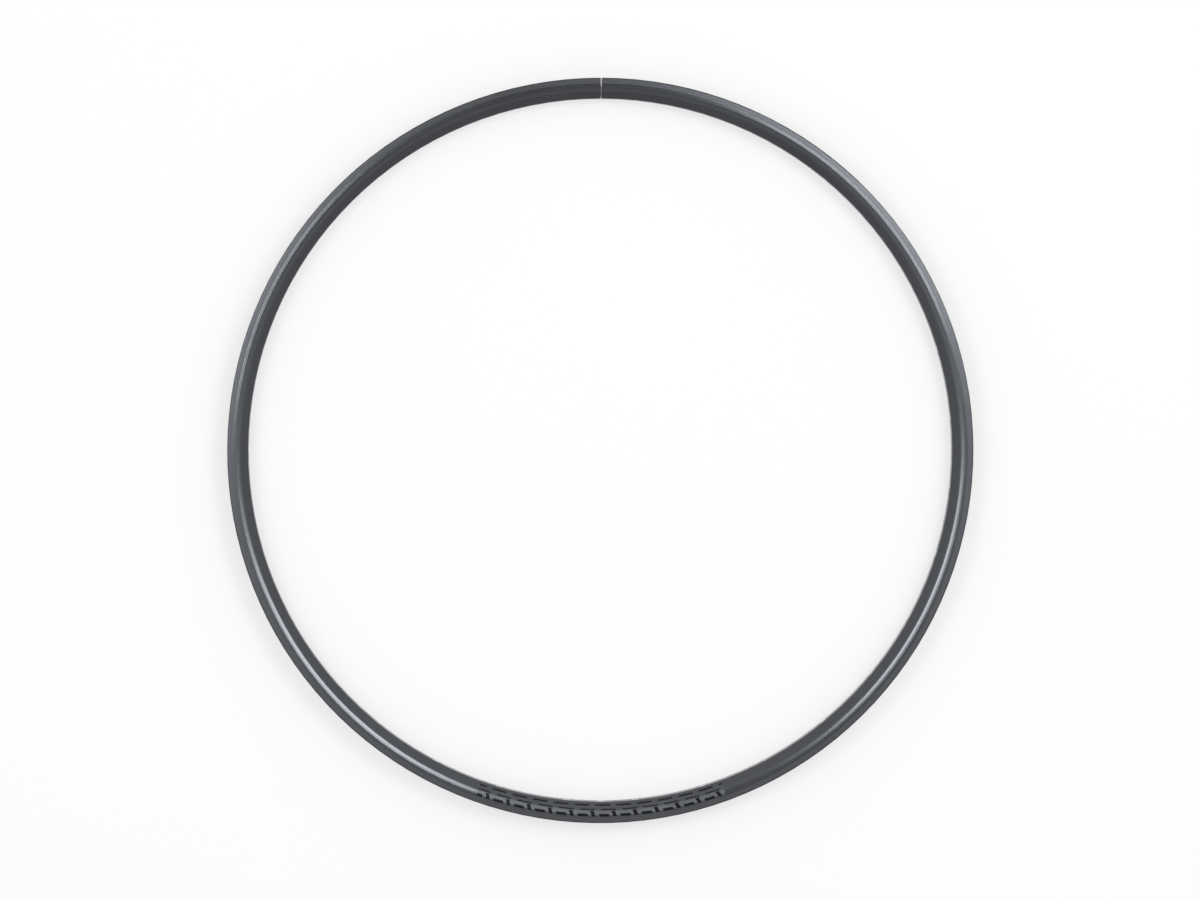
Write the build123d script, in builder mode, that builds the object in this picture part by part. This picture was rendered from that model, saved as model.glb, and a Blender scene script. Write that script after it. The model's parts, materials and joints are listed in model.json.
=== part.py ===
"""Bicycle rim: a rolled double-wall aluminium hoop, the sleeve inside its joint and a side decal.

Millimetres and degrees. The wheel axis is Z and the rim lies flat with its middle plane at Z = 0.
The joint seam is at +Y and the valve hole is opposite it, at -Y.
"""

import os
from math import asin, atan2, cos, degrees, radians, sin, tan

from build123d import *

# Tyre side of the section
BEAD_SEAT_DIAMETER = 622.0  # the standard seat that fixes which tyre fits
FLANGE_HEIGHT = 6.0  # outer edge above the bead seat
INNER_WIDTH = 21.0  # between the inner walls of the flanges
FLANGE_THICKNESS = 1.55  # at the outer edge
HOOK_REACH = 0.8  # lip past the flange's inner wall
HOOK_HEIGHT = 1.5  # straight inner face of the lip
LIP_RADIUS = 0.8
HOOK_ROOT_RADIUS = 0.4
SEAT_CORNER_RADIUS = 0.8
WELL_DEPTH = 2.2  # drop centre below the bead seats
WELL_SLOPE = 50.0
WELL_MARGIN = 1.3  # flat well floor beside an access hole
WELL_RADIUS = 1.0
BRIDGE_THICKNESS = 1.5  # wall between the tyre side and the hollow

# Outside of the section
RIM_DEPTH = 17.5  # outer edge to spoke bed
SIDEWALL_TILT = 2.3  # each sidewall leans out towards the hub
RIDGE_DEPTH = 7.0  # outer edge to the ridge, the widest line
FLARE_RUN = 2.1  # last part of that depth, where the sidewall flares out
FLARE_TILT = 13.3
UPPER_FACET_RUN = 2.1  # depth of the face below the ridge, which is turned towards the hub
UPPER_FACET_TILT = 16.2
LOWER_FACET_RUN = 2.1  # depth of its lower half, which is turned further
LOWER_FACET_TILT = 21.3
BED_WIDTH = 10.2  # spoke bed between the slopes
FLARE_RADIUS = 2.0
RIDGE_RADIUS = 1.0
CROWN_RADIUS = 16.0  # between the halves of the facet
BEND_RADIUS = 5.8  # between the facet and the slope
BED_CORNER_RADIUS = 1.5
BED_THICKNESS = 2.2
SIDE_THICKNESS = 1.4
CAVITY_CORNER_RADIUS = 1.0

# Drilling
SPOKE_COUNT = 32
SPOKE_HOLE_DIAMETER = 4.5
ACCESS_HOLE_DIAMETER = 8.5
VALVE_HOLE_DIAMETER = 8.5
DRILL_OVERRUN = 2.0

# Joint
SEAM_ANGLE = 90.0
SEAM_GAP = 0.5
SLEEVE_CLEARANCE = 0.05  # at the sides and top; the sleeve is seated on the bed
SLEEVE_END_MARGIN = 2.0  # sleeve end short of the nearest access hole

# Decal
DECAL_ARC = 40.0
DECAL_THICKNESS = 0.15
GLUE_LINE = 0.15  # between the hoop and the film
DECAL_OUTER_MARGIN = 0.7  # film on the sidewall beyond the flare
DECAL_INNER_MARGIN = 1.0  # bare slope between the film and the bed

# Radii of the section, from the wheel axis
seat_radius = BEAD_SEAT_DIAMETER / 2
edge_radius = seat_radius + FLANGE_HEIGHT
well_radius = seat_radius - WELL_DEPTH
bed_radius = edge_radius - RIM_DEPTH
cavity_floor = bed_radius + BED_THICKNESS
cavity_middle = (cavity_floor + well_radius - BRIDGE_THICKNESS) / 2

# Half widths of the section, from the middle plane
wall_half = INNER_WIDTH / 2
edge_half = wall_half + FLANGE_THICKNESS
hook_half = wall_half - HOOK_REACH
well_half = ACCESS_HOLE_DIAMETER / 2 + WELL_MARGIN
seat_half = well_half + WELL_DEPTH / tan(radians(WELL_SLOPE))

# Corners of the flank (radius, half width) before rounding, from the outer edge down to the bed
flare_depth = RIDGE_DEPTH - FLARE_RUN
crown_depth = RIDGE_DEPTH + UPPER_FACET_RUN
bend_depth = crown_depth + LOWER_FACET_RUN
flare_half = edge_half + flare_depth * tan(radians(SIDEWALL_TILT))
ridge_half = flare_half + FLARE_RUN * tan(radians(FLARE_TILT))
crown_half = ridge_half - UPPER_FACET_RUN * tan(radians(UPPER_FACET_TILT))
bend_half = crown_half - LOWER_FACET_RUN * tan(radians(LOWER_FACET_TILT))
edge = (edge_radius, edge_half)
flare = (edge_radius - flare_depth, flare_half)
ridge = (edge_radius - RIDGE_DEPTH, ridge_half)
crown = (edge_radius - crown_depth, crown_half)
bend = (edge_radius - bend_depth, bend_half)
bed = (bed_radius, BED_WIDTH / 2)

# Runs between those corners
sidewall_run = (edge, flare)
flare_run = (flare, ridge)
upper_facet_run = (ridge, crown)
lower_facet_run = (crown, bend)
whole_facet_run = (ridge, bend)  # straight, as the hollow follows it
slope_run = (bend, bed)

spoke_pitch = 360 / SPOKE_COUNT
valve_angle = SEAM_ANGLE + 180
sleeve_half_arc = spoke_pitch / 2 - degrees(
    asin((ACCESS_HOLE_DIAMETER / 2 + SLEEVE_END_MARGIN) / cavity_floor)
)


def section_plane(angle):
    """Plane through the wheel axis at an angle about it: local X is the radius, local Y the width."""
    out = (cos(radians(angle)), sin(radians(angle)), 0)
    return Plane(origin=(0, 0, 0), x_dir=out, z_dir=(out[1], -out[0], 0))


def drill_plane(angle, radius):
    """Plane square to a radial hole, facing outwards at a radius from the wheel axis."""
    out = Vector(cos(radians(angle)), sin(radians(angle)), 0)
    return Plane(origin=out * radius, x_dir=(0, 0, 1), z_dir=out)


def run_tilt(run):
    """Tilt of a run in radians: positive where it widens towards the hub."""
    (top_radius, top_half), (low_radius, low_half) = run
    return atan2(low_half - top_half, top_radius - low_radius)


def on_run(run, offset, radius):
    """Point at a radius on a run, after the run moves out of the metal by offset."""
    tilt = run_tilt(run)
    top_radius, top_half = run[0]
    return (radius, top_half + (top_radius - radius) * tan(tilt) + offset / cos(tilt))


def moved_corner(upper, lower, offset):
    """Corner between two runs, after both move out of the metal by offset."""
    corner_radius, corner_half = lower[0]
    upper_tilt, lower_tilt = run_tilt(upper), run_tilt(lower)
    share = offset / (1 + cos(upper_tilt - lower_tilt))
    return (
        corner_radius + share * (sin(upper_tilt) + sin(lower_tilt)),
        corner_half + share * (cos(upper_tilt) + cos(lower_tilt)),
    )


def rounded_line(start, corners, end):
    """Line from start to end over corners, each given with its rounding."""
    FilletPolyline(
        start,
        *[corner for corner, _ in corners],
        end,
        radius=[rounding for _, rounding in corners],
    )


def half_outside():
    """Half of the hoop's outline, from the middle of the bed around to the middle of the well."""
    hook_root = edge_radius - HOOK_HEIGHT
    corners = [
        (bed, BED_CORNER_RADIUS),
        (bend, BEND_RADIUS),
        (crown, CROWN_RADIUS),
        (ridge, RIDGE_RADIUS),
        (flare, FLARE_RADIUS),
        (edge, LIP_RADIUS),
        ((edge_radius, hook_half), LIP_RADIUS),
        ((hook_root, hook_half), HOOK_ROOT_RADIUS),
        ((hook_root - HOOK_REACH, wall_half), HOOK_ROOT_RADIUS),
        ((seat_radius, wall_half), SEAT_CORNER_RADIUS),
        ((seat_radius, seat_half), WELL_RADIUS),
        ((well_radius, well_half), WELL_RADIUS),
    ]
    rounded_line((bed_radius, 0), corners, (well_radius, 0))


def half_hollow(clearance):
    """Half of the hollow's outline, drawn in from its sides and roof by a clearance."""
    offset = -SIDE_THICKNESS - clearance
    roof_drop = BRIDGE_THICKNESS + clearance
    roof = seat_radius - roof_drop
    well_roof = well_radius - roof_drop
    shift = roof_drop * tan(radians(WELL_SLOPE / 2))
    corners = [
        (on_run(slope_run, offset, cavity_floor), CAVITY_CORNER_RADIUS),
        (moved_corner(whole_facet_run, slope_run, offset), CAVITY_CORNER_RADIUS),
        (on_run(whole_facet_run, offset, roof), CAVITY_CORNER_RADIUS),
        ((roof, seat_half + shift), WELL_RADIUS),
        ((well_roof, well_half + shift), WELL_RADIUS),
    ]
    rounded_line((cavity_floor, 0), corners, (well_roof, 0))


spoke_angles = [SEAM_ANGLE + (index + 0.5) * spoke_pitch for index in range(SPOKE_COUNT)]

# Hoop: one extruded section rolled into a ring, drilled, with its two ends meeting at the seam
with BuildPart() as rim_hoop:
    with BuildSketch(section_plane(SEAM_ANGLE)):
        with BuildLine():
            half_outside()
            mirror(about=Plane.XZ)
        make_face()
        with BuildLine():
            half_hollow(0)
            mirror(about=Plane.XZ)
        make_face(mode=Mode.SUBTRACT)
    revolve(axis=Axis.Z)

    with BuildSketch(*[drill_plane(angle, bed_radius - DRILL_OVERRUN) for angle in spoke_angles]):
        Circle(SPOKE_HOLE_DIAMETER / 2)
    extrude(amount=cavity_middle - bed_radius + DRILL_OVERRUN, mode=Mode.SUBTRACT)

    with BuildSketch(*[drill_plane(angle, cavity_middle) for angle in spoke_angles]):
        Circle(ACCESS_HOLE_DIAMETER / 2)
    extrude(amount=seat_radius - cavity_middle, mode=Mode.SUBTRACT)

    with BuildSketch(drill_plane(valve_angle, bed_radius - DRILL_OVERRUN)):
        Circle(VALVE_HOLE_DIAMETER / 2)
    extrude(amount=seat_radius - bed_radius + DRILL_OVERRUN, mode=Mode.SUBTRACT)

    with BuildSketch(drill_plane(SEAM_ANGLE, bed_radius - DRILL_OVERRUN)):
        Rectangle(2 * (ridge_half + DRILL_OVERRUN), SEAM_GAP)
    extrude(amount=RIM_DEPTH + 2 * DRILL_OVERRUN, mode=Mode.SUBTRACT)

# Sleeve: a bar of the hollow's own section, pushed into both ends of the hoop across the seam
with BuildPart() as joint_sleeve:
    with BuildSketch(section_plane(SEAM_ANGLE - sleeve_half_arc)):
        with BuildLine():
            half_hollow(SLEEVE_CLEARANCE)
            mirror(about=Plane.XZ)
        make_face()
    revolve(axis=Axis.Z, revolution_arc=2 * sleeve_half_arc)

# Decal: a thin film wrapped from the sidewall over the ridge onto the slope, on the +Z side
with BuildPart() as side_decal:
    with BuildSketch(section_plane(valve_angle - DECAL_ARC / 2)):
        with BuildLine():
            film_ends = []
            for offset in (GLUE_LINE, GLUE_LINE + DECAL_THICKNESS):
                lower_end = on_run(slope_run, offset, bed_radius + DECAL_INNER_MARGIN)
                upper_end = on_run(sidewall_run, offset, flare[0] + DECAL_OUTER_MARGIN)
                corners = [
                    (moved_corner(lower_facet_run, slope_run, offset), BEND_RADIUS + offset),
                    (moved_corner(upper_facet_run, lower_facet_run, offset), CROWN_RADIUS + offset),
                    (moved_corner(flare_run, upper_facet_run, offset), RIDGE_RADIUS + offset),
                    (moved_corner(sidewall_run, flare_run, offset), FLARE_RADIUS - offset),
                ]
                rounded_line(lower_end, corners, upper_end)
                film_ends.append((lower_end, upper_end))
            for inner_end, outer_end in zip(*film_ends):
                Line(inner_end, outer_end)
        make_face()
    revolve(axis=Axis.Z, revolution_arc=DECAL_ARC)

rim_hoop.part.label = "rim_hoop"
joint_sleeve.part.label = "joint_sleeve"
side_decal.part.label = "side_decal"

os.makedirs("parts", exist_ok=True)
export_step(rim_hoop.part, "parts/rim_hoop.step")
export_step(joint_sleeve.part, "parts/joint_sleeve.step")
export_step(side_decal.part, "parts/side_decal.step")
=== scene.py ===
"""Bare bicycle rim lying on a pale studio floor, seen from above, almost along the wheel axis."""

import json
from math import atan, cos, pi, radians, sin, tan

import bpy
from mathutils import Matrix, Quaternion, Vector


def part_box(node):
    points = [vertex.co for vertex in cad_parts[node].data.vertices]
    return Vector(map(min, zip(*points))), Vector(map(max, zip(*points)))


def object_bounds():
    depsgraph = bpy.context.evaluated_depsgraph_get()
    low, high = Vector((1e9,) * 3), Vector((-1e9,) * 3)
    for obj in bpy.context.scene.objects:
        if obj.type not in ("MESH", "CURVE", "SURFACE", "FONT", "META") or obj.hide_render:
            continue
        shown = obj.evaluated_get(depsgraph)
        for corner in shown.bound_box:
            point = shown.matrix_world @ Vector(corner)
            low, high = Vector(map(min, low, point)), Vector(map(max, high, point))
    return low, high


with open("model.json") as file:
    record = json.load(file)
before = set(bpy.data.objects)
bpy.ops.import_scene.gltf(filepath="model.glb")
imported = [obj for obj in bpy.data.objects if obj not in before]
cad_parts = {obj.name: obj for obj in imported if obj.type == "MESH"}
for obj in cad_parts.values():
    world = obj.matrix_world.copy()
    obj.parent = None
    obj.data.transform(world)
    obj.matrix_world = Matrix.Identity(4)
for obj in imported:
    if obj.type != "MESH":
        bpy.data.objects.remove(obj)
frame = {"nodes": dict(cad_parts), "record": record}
cad_low, cad_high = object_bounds()
MM = 0.001

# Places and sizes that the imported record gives
mounts = {mount["name"]: mount for mount in frame["record"]["mounts"]}
spoke_holes = [mount for name, mount in mounts.items() if name.startswith("spoke_hole")]
spoke_count = len(spoke_holes)
spoke_radius = spoke_holes[0]["dims"]["r_mm"] * MM
valve_radius = mounts["valve_hole"]["dims"]["r_mm"] * MM
hollow_radius = Vector(mounts["valve_hole"]["pos_m"]).length
hoop_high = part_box("rim_hoop")[1]
edge_radius = hoop_high.x
decal_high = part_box("side_decal")[1]
decal_half_arc = atan(decal_high.x / -decal_high.y)

# The photograph, and a camera that stands almost straight above the rim
IMAGE_WIDTH_PX = 1200
RIM_RADIUS_PX = 373.45
CAMERA_DISTANCE = 3.5
CAMERA_RISE = radians(3.0)
CAMERA_LEFT = radians(1.5)
CAMERA_SHIFT = (-0.72 * MM, 1.29 * MM)
SENSOR_WIDTH = 36.0
CLIP_END = 100

# Flank of the section: each corner's depth in millimetres below the outer edge, the tilts in degrees
# above and below it, and its rounding, which is negative where the corner is hollow
SLOPE_TILT = -44.61
FLANK = (
    (0.0, 90.0, 2.3, 0.8),
    (4.9, 2.3, 13.3, -2.0),
    (7.0, 13.3, -16.2, 1.0),
    (9.1, -16.2, -21.3, 16.0),
    (11.2, -21.3, SLOPE_TILT, 5.8),
    (17.5, SLOPE_TILT, -90.0, 1.5),
)

# How far the face of the film stands off the metal, in millimetres, and how closely a face has to lie along
# the drawn flank to be shaded by it
FILM_PROUD = 0.3
SAME_SURFACE = 0.93

# Painted shade along the outer edge, where the colour darkens over the lip
LIP_DEPTH = 0.6 * MM
LIP_FADE = 0.5 * MM
LIP_PAINTED_SHADE = 0.6

# Bare metal along the sawn seam and around the drilled holes, widened as painted light where light shows
# through them, and painted shade on the sleeve under the seam
SEAM_HALF = 0.25 * MM
SEAM_LIGHT_DEPTH = 6.3 * MM
SEAM_BARE_AND_LIGHT = 0.18 * MM
SEAM_BARE_AND_LIGHT_LOW = 0.07 * MM
SEAM_PAINTED_SHADE = 0.7 * MM
HOLE_BARE_AND_LIGHT = 0.8 * MM
ACCESS_RADIUS = 4.25 * MM
RAGGED_SHARE = (0.8, 1.0)
PAINTED_SHADE_SHARE = (0.6, 1.0)

# Colours, linear, and how much of the floor shows as plain white
SATIN = (0.104, 0.1095, 0.12)
BARE_AND_LIGHT = (0.9, 0.9, 0.89)
SLEEVE_DULL = (0.66, 0.66, 0.65)
SLEEVE_BRIGHT = (0.8, 0.8, 0.79)
FILM = (0.106, 0.1115, 0.122)
# Painted highlight along both ends of the film, where its cut edges catch the light
FILM_EDGE_GLINT = (0.3, 0.31, 0.32)
INK = (0.008, 0.008, 0.009)
FLOOR = (0.94, 0.94, 0.94)
FLOOR_MOTTLE = 1.01
FLOOR_WHITE = 0.6
WHITE = (1.0, 1.0, 1.0, 1.0)

# Fineness and detail of the noises, the range that a noise mostly keeps to, and how far the drawing lines
# are stretched along the hoop
RAGGED_SCALE = 1400
GRAIN_SCALE = 2600
LINE_SCALE = 2200
CLOUD_SCALE = 14
SLEEVE_LINE_SCALE = 3000
SLEEVE_SPOT_SCALE = 400
FILM_CLOUD_SCALE = 60
FLOOR_SCALE = 9
PLAIN_DETAIL = 2.0
FINE_DETAIL = 3.0
FLOOR_DETAIL = 4.0
NOISE_RANGE = (0.3, 0.7)
SPOT_RANGE = (0.35, 0.65)
LINE_STRETCH = 0.02

# Tone, roughness and height of the surfaces, with two ends where a noise runs between them
CLOUD_TONE = (0.95, 1.05)
LINE_TONE = (0.98, 1.02)
GRAIN_ROUGH = (0.18, 0.22)
CLOUD_ROUGH = (-0.01, 0.01)
BARE_ROUGH = 0.5
LINE_HEIGHT = 0.6
HOOP_BUMP = 0.005 * MM
SLEEVE_ROUGH = (0.3, 0.45)
SLEEVE_BUMP = 0.01 * MM
METAL_BUMP_STRENGTH = 0.5
FILM_TONE = (0.94, 1.06)
FILM_ROUGH = (0.38, 0.44)
FILM_BUMP = 0.02 * MM
FILM_BUMP_STRENGTH = 0.4
INK_ROUGH = 0.2
INK_SHEEN = 0.16

# Marks on the decal, in millimetres along the hoop and below the outer edge. Each bar has a start and an
# end in its step, then an upper and a lower edge. Each band of dashes has its two edges and a shift
BAR_PITCH = 18.4
BARS = ((0.6, 9.4, 5.8, 8.2), (12.4, 15.6, 5.8, 10.6))
BAR_SLANT = 0.35
DASH_PITCH = 18.4
DASH_LENGTH = 13.0
DASH_BANDS = ((11.2, 12.2, 0.0), (14.5, 15.7, 5.0))
INK_MARGIN = 2.0
EDGE_BAND = 0.5

# Band of the film that holds the bars, lightened there as painted light, and the film above it darkened as
# painted shade
MARK_BAND = (4.7, 10.9)
BAND_FADE = 0.3
SIDE_PAINTED_SHADE = 0.75
BAND_PAINTED_LIGHT = 1.05

# Floor and softboxes, in metres. Each softbox has an azimuth, a tilt off the wheel axis and a roll
# in degrees, then a width, a height and its watts
FLOOR_SIZE = 30
SOFTBOX_DISTANCE = 2.4
SOFTBOXES = {
    "right_softbox": (36.3, 27.3, 6, 1.06, 0.77, 14.2),
    "left_softbox": (158.2, 26, -4, 0.86, 0.62, 9.1),
}

# Pale sky, as degrees off the wheel axis and strength: dark straight above, where the camera stands, with a
# light ring around that, lighter sides, a reflector at the lower left, and a lean towards the seam
SKY = ((0, 0.0), (4, 0.05), (8, 0.85), (12, 1.1), (16, 0.7), (21, 0.0), (30, 0.4), (45, 0.78), (90, 0.6))
SKY_SIDES = ((4, 0.0), (8, 0.2), (16, 0.25), (24, 0.45), (32, 0.45), (45, 0.05))
SKY_REFLECTOR = ((16, 0.0), (24, 1.6), (30, 1.6), (36, 0.3), (45, 0.0))
REFLECTOR_TOWARD = (-0.6, -0.8, 0.0)
SKY_LEAN = 0.14

# Least distance from the wheel axis at which the sky still has sides
NEAR_AXIS = 0.001


class Nodes:
    """Short ways to add and link the nodes of one tree."""

    def __init__(self, tree):
        self.tree = tree
        self.tree.nodes.clear()

    def add(self, kind, **settings):
        node = self.tree.nodes.new(kind)
        for name, value in settings.items():
            setattr(node, name, value)
        return node

    def feed(self, socket, value):
        if isinstance(value, bpy.types.NodeSocket):
            self.tree.links.new(value, socket)
        else:
            socket.default_value = value

    def feed_all(self, node, values):
        """Feeds a node's sockets in their order."""
        for socket, value in zip(node.inputs, values):
            self.feed(socket, value)

    def math(self, operation, *values):
        node = self.add("ShaderNodeMath", operation=operation)
        self.feed_all(node, values)
        return node.outputs[0]

    def total(self, operation, values):
        """One operation run through a list of values."""
        result = values[0]
        for value in values[1:]:
            result = self.math(operation, result, value)
        return result

    def square(self, value):
        return self.math("MULTIPLY", value, value)

    def length(self, a, b):
        return self.math("SQRT", self.math("ADD", self.square(a), self.square(b)))

    def within(self, value, low, high):
        """One between low and high, nought outside."""
        above = self.math("GREATER_THAN", value, low)
        below = self.math("LESS_THAN", value, high)
        return self.math("MULTIPLY", above, below)

    def mix(self, share, first, second):
        """A number between first and second."""
        return self.math("ADD", first, self.math("MULTIPLY", share, self.math("SUBTRACT", second, first)))

    def ramp(self, value, low, high, out_low=0.0, out_high=1.0):
        """value from low..high to out_low..out_high, held at the ends."""
        node = self.add("ShaderNodeMapRange", clamp=True)
        self.feed_all(node, (value, low, high, out_low, out_high))
        return node.outputs[0]

    def vector(self, x, y, z):
        node = self.add("ShaderNodeCombineXYZ")
        self.feed_all(node, (x, y, z))
        return node.outputs[0]

    def vector_math(self, operation, first, second, output="Vector"):
        node = self.add("ShaderNodeVectorMath", operation=operation)
        self.feed(node.inputs[0], first)
        self.feed(node.inputs["Scale"] if operation == "SCALE" else node.inputs[1], second)
        return node.outputs[output]

    def parts(self, point):
        """The three parts of a point, its distance from the wheel axis and its angle about it."""
        split = self.add("ShaderNodeSeparateXYZ")
        self.feed(split.inputs[0], point)
        x, y, z = split.outputs
        return x, y, z, self.length(x, y), self.math("ARCTAN2", y, x)

    def noise(self, place, scale, detail=PLAIN_DETAIL):
        node = self.add("ShaderNodeTexNoise")
        self.feed(node.inputs["Vector"], place)
        node.inputs["Scale"].default_value = scale
        node.inputs["Detail"].default_value = detail
        return node.outputs["Fac"]

    def drawn_lines(self, radius, angle, z, scale, detail):
        """Noise stretched into lines along the hoop."""
        return self.noise(self.vector(radius, self.math("MULTIPLY", angle, LINE_STRETCH), z), scale, detail)

    def spread(self, noise, ends):
        """A noise spread from one end to the other."""
        return self.ramp(noise, *NOISE_RANGE, *ends)

    def mix_colour(self, share, first, second):
        node = self.add("ShaderNodeMix", data_type="RGBA")
        self.feed(node.inputs["Factor"], share)
        for name, colour in (("A", first), ("B", second)):
            socket = next(s for s in node.inputs if s.name == name and s.type == "RGBA")
            self.feed(socket, (*colour, 1.0) if isinstance(colour, tuple) else colour)
        return next(s for s in node.outputs if s.type == "RGBA")

    def bump(self, height, distance, strength):
        node = self.add("ShaderNodeBump")
        node.inputs["Strength"].default_value = strength
        node.inputs["Distance"].default_value = distance
        self.feed(node.inputs["Height"], height)
        return node.outputs["Normal"]

    def surface(self, **sockets):
        shader = self.add("ShaderNodeBsdfPrincipled")
        for name, value in sockets.items():
            self.feed(shader.inputs[name.replace("_", " ")], value)
        self.feed(self.add("ShaderNodeOutputMaterial").inputs["Surface"], shader.outputs[0])


def new_material(name):
    """A material with an empty tree, and the point being shaded in the frame."""
    material = bpy.data.materials.new(name)
    material.use_nodes = True
    n = Nodes(material.node_tree)
    return material, n, n.add("ShaderNodeTexCoord").outputs["Object"]


def hoop_material():
    """Dark satin finish, with bare metal where the holes were drilled and the ends were sawn, widened there
    as painted light, and painted shade on the lip.
    """
    material, n, point = new_material("dark_satin_aluminium")
    x, y, z, radius, angle = n.parts(point)

    # Ragged bare rims of the spoke holes, the access holes behind them, the valve hole and the seam, made
    # wider as painted light where light shows through them, widest near the seam's outer edge
    ragged = n.spread(n.noise(point, RAGGED_SCALE), RAGGED_SHARE)
    hole_bare_and_light = n.math("MULTIPLY", ragged, HOLE_BARE_AND_LIGHT)
    pitch = 2 * pi / spoke_count
    turn = n.math("SUBTRACT", n.math("FRACT", n.math("DIVIDE", angle, pitch)), 0.5)
    sideways = n.math("MULTIPLY", radius, n.math("MULTIPLY", turn, pitch))
    outer_wall = n.math("GREATER_THAN", radius, hollow_radius)
    hole = n.mix(outer_wall, spoke_radius, ACCESS_RADIUS)
    in_spoke = n.math("LESS_THAN", n.length(sideways, z), n.math("ADD", hole, hole_bare_and_light))
    in_valve = n.math("LESS_THAN", n.length(x, z), n.math("ADD", hole_bare_and_light, valve_radius))
    in_valve = n.math("MULTIPLY", in_valve, n.math("LESS_THAN", y, 0.0))
    high = n.math("GREATER_THAN", y, edge_radius - SEAM_LIGHT_DEPTH)
    seam_bare_and_light = n.math("MULTIPLY", ragged, n.mix(high, SEAM_BARE_AND_LIGHT_LOW, SEAM_BARE_AND_LIGHT))
    in_seam = n.math("LESS_THAN", n.math("ABSOLUTE", x), n.math("ADD", seam_bare_and_light, SEAM_HALF))
    in_seam = n.math("MULTIPLY", in_seam, n.math("GREATER_THAN", y, 0.0))
    bare_and_light = n.total("MAXIMUM", [in_spoke, in_valve, in_seam])

    # Fine blasted grain, faint drawing lines along the hoop, slow clouds in tone, and painted shade on the
    # lip
    grain = n.noise(point, GRAIN_SCALE, FINE_DETAIL)
    lines = n.drawn_lines(radius, angle, z, LINE_SCALE, PLAIN_DETAIL)
    clouds = n.noise(point, CLOUD_SCALE, FINE_DETAIL)
    lip_radius = edge_radius - LIP_DEPTH
    lip_painted_shade = n.ramp(radius, lip_radius - LIP_FADE, lip_radius, 1.0, LIP_PAINTED_SHADE)
    tone = n.total("MULTIPLY", [lip_painted_shade, n.spread(clouds, CLOUD_TONE), n.spread(lines, LINE_TONE)])
    colour = n.mix_colour(bare_and_light, n.vector_math("SCALE", SATIN, tone), BARE_AND_LIGHT)
    rough = n.math("ADD", n.spread(grain, GRAIN_ROUGH), n.spread(clouds, CLOUD_ROUGH))
    height = n.math("ADD", grain, n.math("MULTIPLY", lines, LINE_HEIGHT))
    n.surface(
        Base_Color=colour,
        Metallic=1.0,
        Roughness=n.mix(bare_and_light, rough, BARE_ROUGH),
        Normal=n.bump(height, HOOP_BUMP, METAL_BUMP_STRENGTH),
    )
    return material


def sleeve_material():
    """Bare drawn aluminium with lines along the bar, with painted shade where it lies under the seam."""
    material, n, point = new_material("bare_aluminium")
    x, y, z, radius, angle = n.parts(point)
    lines = n.drawn_lines(radius, angle, z, SLEEVE_LINE_SCALE, FINE_DETAIL)
    spots = n.noise(point, SLEEVE_SPOT_SCALE)
    metal = n.mix_colour(n.ramp(spots, *SPOT_RANGE), SLEEVE_DULL, SLEEVE_BRIGHT)
    # Painted shade: the sleeve's colour turns to the dark satin under the seam gap
    reach = n.math("MULTIPLY", n.spread(spots, PAINTED_SHADE_SHARE), SEAM_PAINTED_SHADE)
    sleeve_painted_shade = n.math("LESS_THAN", n.math("ABSOLUTE", x), reach)
    n.surface(
        Base_Color=n.mix_colour(sleeve_painted_shade, metal, SATIN),
        Metallic=1.0,
        Roughness=n.spread(lines, SLEEVE_ROUGH),
        Normal=n.bump(lines, SLEEVE_BUMP, METAL_BUMP_STRENGTH),
    )
    return material


def decal_material():
    """Clear film over the metal, printed with plain slanted bars, and with dashes on the slope, with
    painted light and shade by depth and a painted highlight at both ends.
    """
    material, n, point = new_material("decal_film")
    radius, angle = n.parts(point)[3:]
    middle_radius = edge_radius - BARS[0][2] * MM
    from_middle = n.math("ADD", angle, pi / 2)
    along = n.math("MULTIPLY", from_middle, middle_radius / MM)
    depth = n.math("DIVIDE", n.math("SUBTRACT", edge_radius, radius), MM)
    film_end = decal_half_arc * middle_radius / MM
    off_middle = n.math("ABSOLUTE", along)

    slanted = n.math("ADD", along, n.math("MULTIPLY", depth, BAR_SLANT))
    step = n.math("MULTIPLY", n.math("FRACT", n.math("DIVIDE", slanted, BAR_PITCH)), BAR_PITCH)
    marks = []
    for start, end, top, low in BARS:
        marks.append(n.math("MULTIPLY", n.within(step, start, end), n.within(depth, top, low)))
    for top, low, shift in DASH_BANDS:
        dash_step = n.math("FRACT", n.math("DIVIDE", n.math("ADD", along, shift), DASH_PITCH))
        dash = n.math("LESS_THAN", dash_step, DASH_LENGTH / DASH_PITCH)
        marks.append(n.math("MULTIPLY", dash, n.within(depth, top, low)))
    inside = n.math("LESS_THAN", off_middle, film_end - INK_MARGIN)
    ink = n.math("MULTIPLY", inside, n.total("MAXIMUM", marks))

    clouds = n.noise(point, FILM_CLOUD_SCALE, FINE_DETAIL)
    # Painted highlight at both ends of the film, where its cut edges catch the light
    edge_glint = n.math("GREATER_THAN", off_middle, film_end - EDGE_BAND)
    top, low = MARK_BAND
    # Painted light and shade: the film is darker above the band of bars and lighter within it
    painted_shade_onto_band = n.ramp(depth, top - BAND_FADE, top, SIDE_PAINTED_SHADE, BAND_PAINTED_LIGHT)
    painted_light_off_band = n.ramp(depth, low, low + BAND_FADE, 0.0, 1.0 - BAND_PAINTED_LIGHT)
    tone = n.math("MULTIPLY", n.math("ADD", painted_shade_onto_band, painted_light_off_band), n.spread(clouds, FILM_TONE))
    film = n.vector_math("SCALE", FILM, tone)
    n.surface(
        Base_Color=n.mix_colour(ink, n.mix_colour(edge_glint, film, FILM_EDGE_GLINT), INK),
        Metallic=n.math("SUBTRACT", 1.0, ink),
        Roughness=n.mix(ink, n.spread(clouds, FILM_ROUGH), INK_ROUGH),
        Specular_IOR_Level=INK_SHEEN,
        Normal=n.bump(clouds, FILM_BUMP, FILM_BUMP_STRENGTH),
    )
    return material


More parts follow.
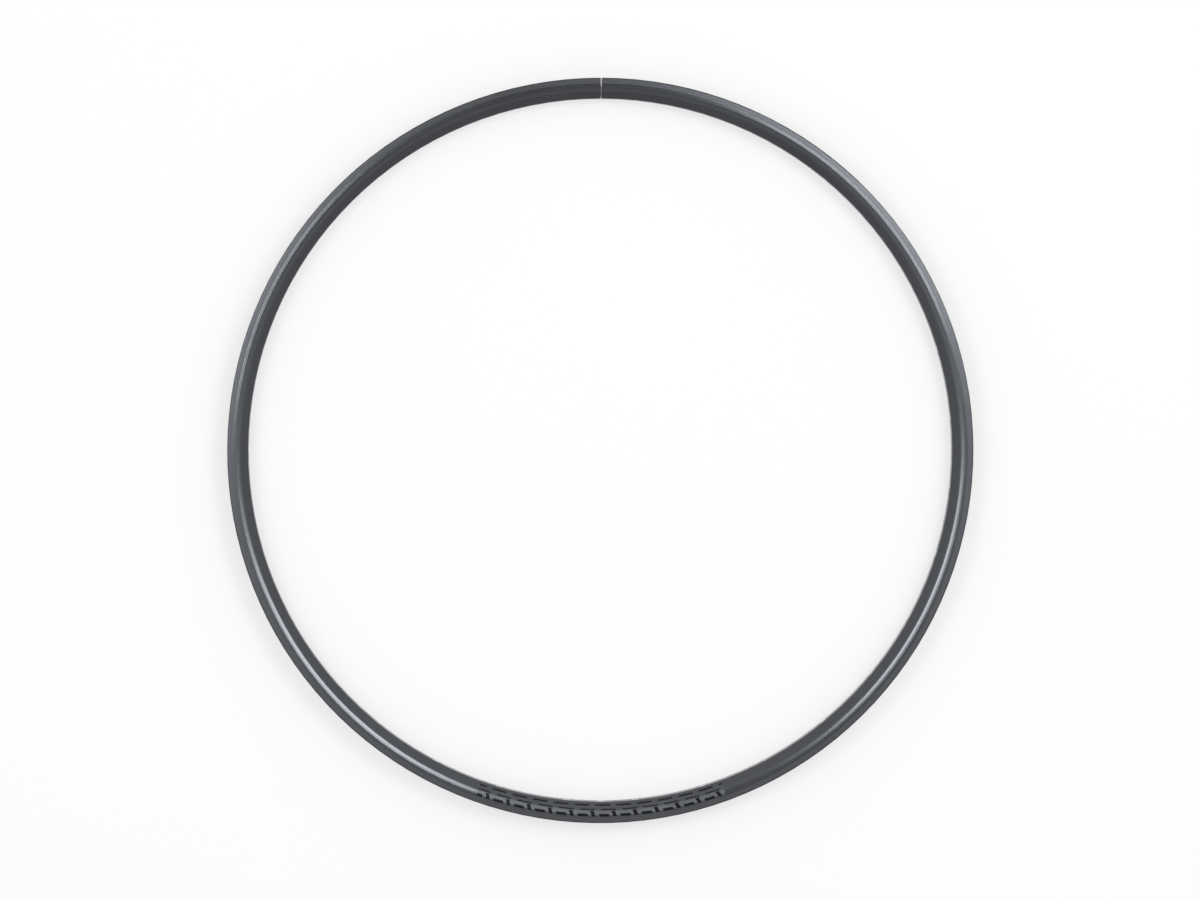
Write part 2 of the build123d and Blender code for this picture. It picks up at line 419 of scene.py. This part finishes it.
def floor_material():
    """Pale floor that shows lighter than it lights the rim, and keeps the shadow."""
    material, n, point = new_material("studio_floor")
    mottle = n.noise(point, FLOOR_SCALE, FLOOR_DETAIL)
    colour = n.mix_colour(mottle, FLOOR, tuple(part * FLOOR_MOTTLE for part in FLOOR))
    path = n.add("ShaderNodeLightPath")
    rays = [path.outputs[f"Is {kind} Ray"] for kind in ("Camera", "Glossy", "Transmission")]
    white_share = n.math("MULTIPLY", n.total("MAXIMUM", rays), FLOOR_WHITE)
    matt = n.add("ShaderNodeBsdfDiffuse")
    n.feed(matt.inputs["Color"], colour)
    white = n.add("ShaderNodeEmission")
    n.feed(white.inputs["Color"], WHITE)
    both = n.add("ShaderNodeMixShader")
    n.feed_all(both, (white_share, matt.outputs[0], white.outputs[0]))
    n.feed(n.add("ShaderNodeOutputMaterial").inputs["Surface"], both.outputs[0])
    return material


def dress(node, material):
    """Gives a piece its one material."""
    piece = frame["nodes"][node]
    piece.data.materials.clear()
    piece.data.materials.append(material)


def true_normals(piece, proud):
    """Shades the flank by the drawn section, so that light runs evenly over its rounded corners.

    The lean of the surface, which is the sine of its tilt, runs straight with the radius
    through each rounding.
    """
    tree = bpy.data.node_groups.new(piece.name + "_normals", "GeometryNodeTree")
    for way in ("INPUT", "OUTPUT"):
        tree.interface.new_socket("Geometry", in_out=way, socket_type="NodeSocketGeometry")
    n = Nodes(tree)
    x, y, z, radius = n.parts(n.add("GeometryNodeInputPosition").outputs[0])[:4]
    leans = [1.0]
    for depth, above, below, rounding in FLANK:
        above = radians(above)
        below = radians(below)
        share = proud / (1 + cos(above - below))
        corner = edge_radius / MM - depth + share * (sin(above) + sin(below))
        cut = abs(rounding + proud) * tan(abs(above - below) / 2)
        top = corner + cut * cos(above)
        low = corner - cut * cos(below)
        leans.append(n.ramp(radius, low * MM, top * MM, sin(below) - sin(above), 0.0))
    lean = n.total("ADD", leans)
    level = n.math("SQRT", n.math("MAXIMUM", n.math("SUBTRACT", 1.0, n.square(lean)), 0.0))
    outward = n.vector_math("SCALE", n.vector(x, y, 0.0), n.math("DIVIDE", lean, radius))
    upward = n.vector(0.0, 0.0, n.math("MULTIPLY", level, n.math("SIGN", z)))
    drawn = n.vector_math("ADD", outward, upward)

    # Faces off the flank, such as the walls of the holes, keep their own shading
    normal = n.add("GeometryNodeInputNormal")
    face = n.add("GeometryNodeFieldOnDomain", domain="FACE", data_type="FLOAT_VECTOR")
    n.feed(face.inputs[0], normal.outputs["True Normal"])
    likeness = n.vector_math("DOT_PRODUCT", face.outputs[0], drawn, "Value")
    alike = n.math("GREATER_THAN", likeness, SAME_SURFACE)
    chosen = n.add("GeometryNodeSwitch", input_type="VECTOR")
    n.feed_all(chosen, (alike, normal.outputs["Normal"], drawn))
    shade = n.add("GeometryNodeSetMeshNormal", mode="FREE", domain="CORNER")
    n.feed(shade.inputs["Mesh"], n.add("NodeGroupInput").outputs[0])
    n.feed(shade.inputs["Custom Normal"], chosen.outputs[0])
    n.feed(n.add("NodeGroupOutput").inputs[0], shade.outputs[0])
    piece.modifiers.new("true_normals", "NODES").node_group = tree


def add_floor():
    """Floor that the rim lies on."""
    bpy.ops.mesh.primitive_plane_add(size=FLOOR_SIZE, location=(0, 0, cad_low.z))
    plane = bpy.context.object
    plane.name = "studio_floor"
    plane.data.materials.append(floor_material())
    return plane


def add_softbox(name, azimuth, tilt, roll, width, height, power):
    """Soft lamp aimed at the rim's middle from an azimuth, tilted off the wheel axis and rolled."""
    lamp = bpy.data.lights.new(name, "AREA")
    lamp.shape = "RECTANGLE"
    lamp.size = width
    lamp.size_y = height
    lamp.energy = power
    azimuth = radians(azimuth)
    tilt = radians(tilt)
    toward = Vector((sin(tilt) * cos(azimuth), sin(tilt) * sin(azimuth), cos(tilt)))
    aim = toward.to_track_quat("Z", "Y") @ Quaternion((0, 0, 1), radians(roll))
    holder = bpy.data.objects.new(name, lamp)
    holder.location = toward * SOFTBOX_DISTANCE
    holder.rotation_euler = aim.to_euler()
    bpy.context.collection.objects.link(holder)


def light_sky():
    """Sky whose strength changes in rings about the wheel axis."""
    world = bpy.data.worlds.new("studio")
    bpy.context.scene.world = world
    world.use_nodes = True
    n = Nodes(world.node_tree)
    direction = n.add("ShaderNodeTexCoord").outputs["Generated"]
    across, ahead, height, level = n.parts(direction)[:4]
    off_axis = n.math("ARCCOSINE", height)

    def rings(steps):
        """Strength that runs straight between steps off the wheel axis."""
        strengths = [steps[0][1]]
        for (low, start), (high, end) in zip(steps, steps[1:]):
            strengths.append(n.ramp(off_axis, radians(low), radians(high), 0.0, end - start))
        return n.total("ADD", strengths)

    sideways = n.math("DIVIDE", across, n.math("MAXIMUM", level, NEAR_AXIS))
    sides = n.math("MULTIPLY", n.square(sideways), rings(SKY_SIDES))
    facing = n.math("MAXIMUM", n.vector_math("DOT_PRODUCT", direction, REFLECTOR_TOWARD, "Value"), 0.0)
    reflector = n.math("MULTIPLY", n.square(facing), rings(SKY_REFLECTOR))
    lean = n.math("MULTIPLY", ahead, SKY_LEAN)
    sky = n.add("ShaderNodeBackground")
    n.feed(sky.inputs["Color"], WHITE)
    n.feed(sky.inputs["Strength"], n.total("ADD", [rings(SKY), sides, reflector, lean]))
    n.feed(n.add("ShaderNodeOutputWorld").inputs["Surface"], sky.outputs[0])


def add_camera():
    """Camera a little towards the seam and to the left, with the seam at the top of the picture."""
    back = Vector((-tan(CAMERA_LEFT), tan(CAMERA_RISE), 1.0)).normalized()
    right = Vector((0, 1, 0)).cross(back).normalized()
    up = back.cross(right)
    lens = bpy.data.cameras.new("camera")
    lens.sensor_width = SENSOR_WIDTH
    focal_px = RIM_RADIUS_PX * (CAMERA_DISTANCE - hoop_high.z) / edge_radius
    lens.lens = SENSOR_WIDTH * focal_px / IMAGE_WIDTH_PX
    lens.clip_end = CLIP_END
    camera = bpy.data.objects.new("camera", lens)
    place = back * CAMERA_DISTANCE + Vector((*CAMERA_SHIFT, 0.0))
    camera.matrix_world = Matrix.Translation(place) @ Matrix((right, up, back)).transposed().to_4x4()
    bpy.context.collection.objects.link(camera)
    bpy.context.scene.camera = camera


dress("rim_hoop", hoop_material())
dress("joint_sleeve", sleeve_material())
dress("side_decal", decal_material())
true_normals(frame["nodes"]["rim_hoop"], 0.0)
true_normals(frame["nodes"]["side_decal"], FILM_PROUD)

floor = add_floor()
for name, settings in SOFTBOXES.items():
    add_softbox(name, *settings)
light_sky()
add_camera()
bpy.context.scene.view_settings.view_transform = "Standard"
